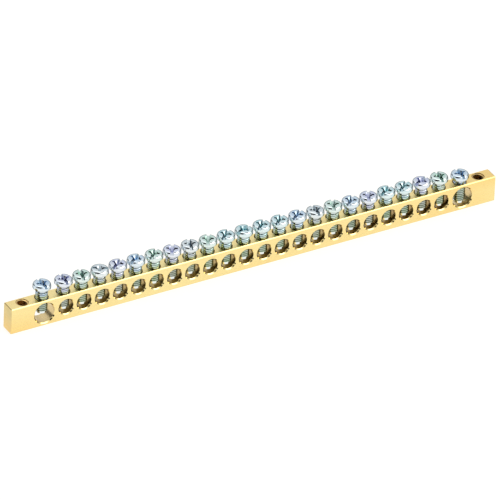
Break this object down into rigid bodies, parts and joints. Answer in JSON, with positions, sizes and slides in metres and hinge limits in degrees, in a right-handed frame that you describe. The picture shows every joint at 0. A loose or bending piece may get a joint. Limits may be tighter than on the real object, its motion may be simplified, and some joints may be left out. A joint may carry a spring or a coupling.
{
  "type": "earth terminal bar",
  "caption": "Slim brass bar for earth conductors: a row of cross-drilled wire bores, each with a clamp screw from above, a larger terminal at each end and a tapped fixing hole beyond it.",
  "frame": {"origin": "middle of the bar's lower face", "axes": "+X along the bar, towards the end whose clamp screw is screwed in furthest; +Y along the wire bores, from front to back; +Z along the clamp screws, up out of the bar"},
  "size_m": [0.1758, 0.006, 0.0147],
  "materials": {
    "brass": "drawn and sawn brass, bare, with fine draw lines",
    "zinc_plate": "zinc-plated steel, blue passivated, bright"
  },
  "bodies": {
    "bar": {"bar": "brass"},
    "screw_01": {"clamp_screw_01": "zinc_plate"},
    "screw_02": {"clamp_screw_02": "zinc_plate"},
    "screw_03": {"clamp_screw_03": "zinc_plate"},
    "screw_04": {"clamp_screw_04": "zinc_plate"},
    "screw_05": {"clamp_screw_05": "zinc_plate"},
    "screw_06": {"clamp_screw_06": "zinc_plate"},
    "screw_07": {"clamp_screw_07": "zinc_plate"},
    "screw_08": {"clamp_screw_08": "zinc_plate"},
    "screw_09": {"clamp_screw_09": "zinc_plate"},
    "screw_10": {"clamp_screw_10": "zinc_plate"},
    "screw_11": {"clamp_screw_11": "zinc_plate"},
    "screw_12": {"clamp_screw_12": "zinc_plate"},
    "screw_13": {"clamp_screw_13": "zinc_plate"},
    "screw_14": {"clamp_screw_14": "zinc_plate"},
    "screw_15": {"clamp_screw_15": "zinc_plate"},
    "screw_16": {"clamp_screw_16": "zinc_plate"},
    "screw_17": {"clamp_screw_17": "zinc_plate"},
    "screw_18": {"clamp_screw_18": "zinc_plate"},
    "screw_19": {"clamp_screw_19": "zinc_plate"},
    "screw_20": {"clamp_screw_20": "zinc_plate"},
    "screw_21": {"clamp_screw_21": "zinc_plate"},
    "screw_22": {"clamp_screw_22": "zinc_plate"},
    "screw_23": {"clamp_screw_23": "zinc_plate"},
    "screw_24": {"clamp_screw_24": "zinc_plate"}
  },
  "joints": [
    {"name": "travel_01", "type": "slide", "parent": "bar", "child": "screw_01", "axis": [0, 0, 1], "range_m": [-0.00245, 0.00425]},
    {"name": "travel_02", "type": "slide", "parent": "bar", "child": "screw_02", "axis": [0, 0, 1], "range_m": [-0.00065, 0.004]},
    {"name": "travel_03", "type": "slide", "parent": "bar", "child": "screw_03", "axis": [0, 0, 1], "range_m": [-0.00055, 0.0041]},
    {"name": "travel_04", "type": "slide", "parent": "bar", "child": "screw_04", "axis": [0, 0, 1], "range_m": [-0.00065, 0.004]},
    {"name": "travel_05", "type": "slide", "parent": "bar", "child": "screw_05", "axis": [0, 0, 1], "range_m": [-0.00075, 0.0039]},
    {"name": "travel_06", "type": "slide", "parent": "bar", "child": "screw_06", "axis": [0, 0, 1], "range_m": [-0.00075, 0.0039]},
    {"name": "travel_07", "type": "slide", "parent": "bar", "child": "screw_07", "axis": [0, 0, 1], "range_m": [-0.00075, 0.0039]},
    {"name": "travel_08", "type": "slide", "parent": "bar", "child": "screw_08", "axis": [0, 0, 1], "range_m": [-0.00055, 0.0041]},
    {"name": "travel_09", "type": "slide", "parent": "bar", "child": "screw_09", "axis": [0, 0, 1], "range_m": [-0.00065, 0.004]},
    {"name": "travel_10", "type": "slide", "parent": "bar", "child": "screw_10", "axis": [0, 0, 1], "range_m": [-0.00055, 0.0041]},
    {"name": "travel_11", "type": "slide", "parent": "bar", "child": "screw_11", "axis": [0, 0, 1], "range_m": [-0.00055, 0.0041]},
    {"name": "travel_12", "type": "slide", "parent": "bar", "child": "screw_12", "axis": [0, 0, 1], "range_m": [-0.00055, 0.0041]},
    {"name": "travel_13", "type": "slide", "parent": "bar", "child": "screw_13", "axis": [0, 0, 1], "range_m": [-0.00055, 0.0041]},
    {"name": "travel_14", "type": "slide", "parent": "bar", "child": "screw_14", "axis": [0, 0, 1], "range_m": [-0.00055, 0.0041]},
    {"name": "travel_15", "type": "slide", "parent": "bar", "child": "screw_15", "axis": [0, 0, 1], "range_m": [-0.00055, 0.0041]},
    {"name": "travel_16", "type": "slide", "parent": "bar", "child": "screw_16", "axis": [0, 0, 1], "range_m": [-0.00045, 0.0042]},
    {"name": "travel_17", "type": "slide", "parent": "bar", "child": "screw_17", "axis": [0, 0, 1], "range_m": [-0.00065, 0.004]},
    {"name": "travel_18", "type": "slide", "parent": "bar", "child": "screw_18", "axis": [0, 0, 1], "range_m": [-0.00045, 0.0042]},
    {"name": "travel_19", "type": "slide", "parent": "bar", "child": "screw_19", "axis": [0, 0, 1], "range_m": [-0.00035, 0.0043]},
    {"name": "travel_20", "type": "slide", "parent": "bar", "child": "screw_20", "axis": [0, 0, 1], "range_m": [-0.00045, 0.0042]},
    {"name": "travel_21", "type": "slide", "parent": "bar", "child": "screw_21", "axis": [0, 0, 1], "range_m": [-0.00035, 0.0043]},
    {"name": "travel_22", "type": "slide", "parent": "bar", "child": "screw_22", "axis": [0, 0, 1], "range_m": [-0.00035, 0.0043]},
    {"name": "travel_23", "type": "slide", "parent": "bar", "child": "screw_23", "axis": [0, 0, 1], "range_m": [-0.00025, 0.0044]},
    {"name": "travel_24", "type": "slide", "parent": "bar", "child": "screw_24", "axis": [0, 0, 1], "range_m": [-0.00045, 0.00625]}
  ]
}
